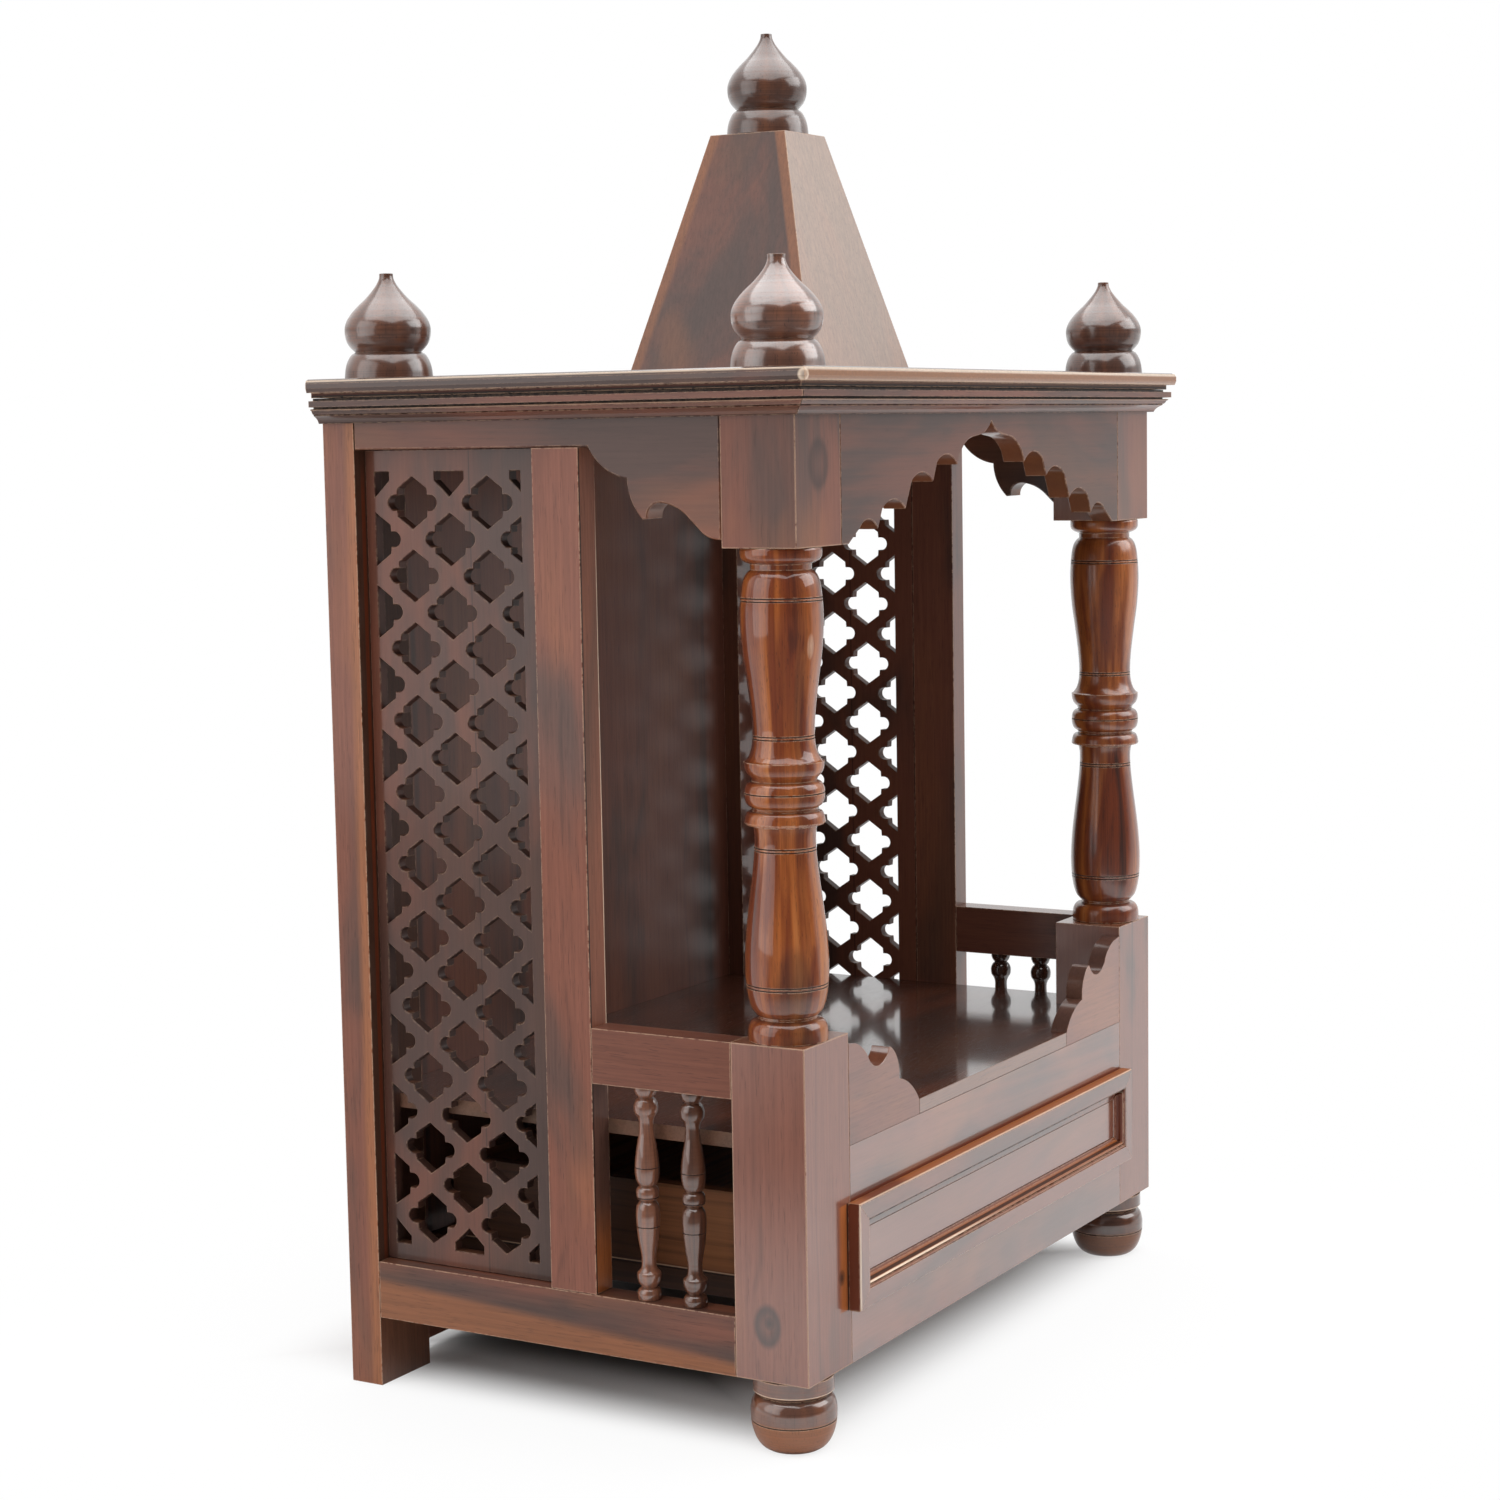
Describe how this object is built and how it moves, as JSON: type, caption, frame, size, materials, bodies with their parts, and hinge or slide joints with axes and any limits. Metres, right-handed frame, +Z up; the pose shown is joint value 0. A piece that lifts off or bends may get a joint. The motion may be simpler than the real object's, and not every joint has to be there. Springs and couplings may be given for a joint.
{
  "type": "pooja mandir",
  "caption": "Lacquered wooden home shrine with turned columns, a cusped arch, pierced jali sides, a pyramid spire with onion finials and a drawer under its platform.",
  "frame": {"origin": "on the floor under the middle of the whole outline, top plate included", "axes": "+X to the right seen from the front, +Y towards the back panel, +Z up; the front and its drawer face -Y"},
  "size_m": [0.6094, 0.389, 0.9544],
  "materials": {
    "lacquered_red": "gloss lacquer over red-brown sheesham",
    "lacquered_dark": "gloss lacquer over dark sheesham heartwood",
    "lacquered_turned": "high gloss lacquer on turned sheesham",
    "plain_inside": "plain sanded wood inside the drawer space"
  },
  "bodies": {
    "carcass": {"back_lower_rail": "lacquered_dark", "back_panel": "lacquered_dark", "cornice_front": "lacquered_red", "cornice_left": "lacquered_red", "cornice_right": "lacquered_red", "frieze_front": "lacquered_dark", "front_left_bracket": "lacquered_dark", "front_left_finial": "lacquered_turned", "front_left_foot": "lacquered_turned", "front_left_post": "lacquered_red", "front_lower_rail": "lacquered_dark", "front_right_bracket": "lacquered_dark", "front_right_finial": "lacquered_turned", "front_right_foot": "lacquered_turned", "front_right_post": "lacquered_red", "front_upper_rail": "lacquered_dark", "left_arm_rail": "lacquered_red", "left_baluster_1": "lacquered_turned", "left_baluster_2": "lacquered_turned", "left_bottom_rail": "lacquered_dark", "left_column": "lacquered_turned", "left_drawer_runner": "plain_inside", "left_jali_panel": "lacquered_dark", "left_middle_stile": "lacquered_red", "left_top_rail": "lacquered_dark", "platform": "lacquered_dark", "rear_left_finial": "lacquered_turned", "rear_left_post": "lacquered_red", "rear_right_finial": "lacquered_turned", "rear_right_post": "lacquered_red", "right_arm_rail": "lacquered_red", "right_baluster_1": "lacquered_turned", "right_baluster_2": "lacquered_turned", "right_bottom_rail": "lacquered_dark", "right_column": "lacquered_turned", "right_drawer_runner": "plain_inside", "right_jali_panel": "lacquered_dark", "right_middle_stile": "lacquered_red", "right_top_rail": "lacquered_dark", "spire": "lacquered_dark", "spire_finial": "lacquered_turned", "top_plate": "lacquered_red", "upper_left_block": "lacquered_red", "upper_right_block": "lacquered_red"},
    "drawer": {"drawer_back": "plain_inside", "drawer_bottom": "plain_inside", "drawer_front": "lacquered_dark", "drawer_left_side": "plain_inside", "drawer_right_side": "plain_inside"}
  },
  "joints": [
    {"name": "drawer_slide", "type": "slide", "parent": "carcass", "child": "drawer", "axis": [0, -1, 0], "range_m": [0, 0.23]}
  ]
}
